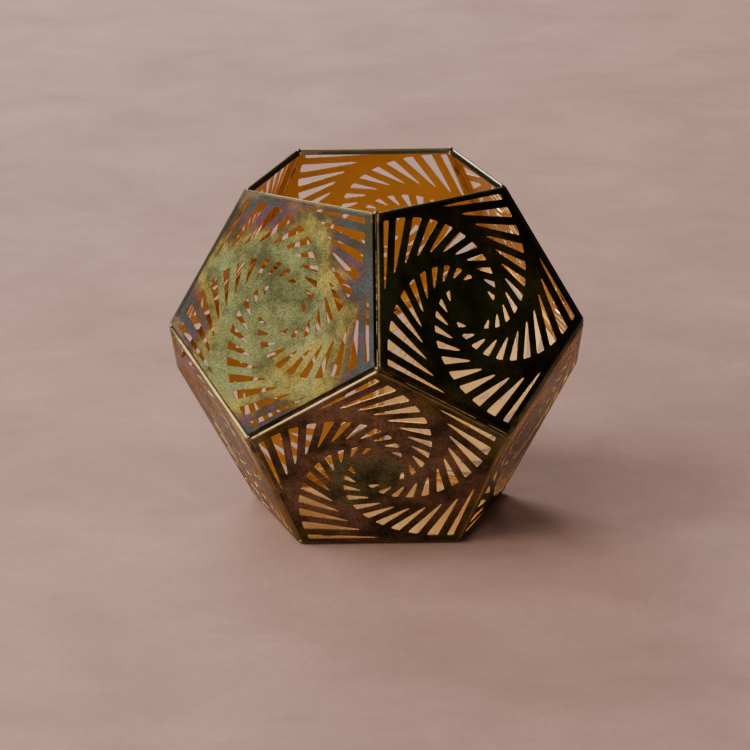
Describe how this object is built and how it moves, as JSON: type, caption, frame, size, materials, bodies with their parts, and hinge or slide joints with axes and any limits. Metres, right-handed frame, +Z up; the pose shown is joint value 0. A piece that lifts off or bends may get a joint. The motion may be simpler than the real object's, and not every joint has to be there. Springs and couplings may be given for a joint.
{
  "type": "pierced dodecahedron lantern",
  "caption": "Pierced sheet-metal lantern in the shape of a dodecahedron with an open top, for a small candle or a tealight.",
  "frame": {"origin": "centre of the underside of the base", "axes": "+Z up through the open top, -Y towards the front, which is the middle of one lower panel"},
  "size_m": [0.235, 0.2468, 0.2004],
  "materials": {
    "pierced_sheet": "heat-patinated bronze outside, satin gold inside",
    "base_sheet": "dark bronze outside, satin gold inside",
    "solder": "rough soft-solder beads"
  },
  "bodies": {
    "root": {"base_panel": "base_sheet", "lower_panel_1": "pierced_sheet", "lower_panel_2": "pierced_sheet", "lower_panel_3": "pierced_sheet", "lower_panel_4": "pierced_sheet", "lower_panel_5": "pierced_sheet", "upper_panel_1": "pierced_sheet", "upper_panel_2": "pierced_sheet", "upper_panel_3": "pierced_sheet", "upper_panel_4": "pierced_sheet", "upper_panel_5": "pierced_sheet", "base_seam_solder": "solder", "lower_seam_solder": "solder", "middle_seam_solder": "solder", "upper_seam_solder": "solder", "base_corner_solder": "solder", "lower_corner_solder": "solder", "upper_corner_solder": "solder", "rim_corner_solder": "solder"}
  },
  "joints": []
}
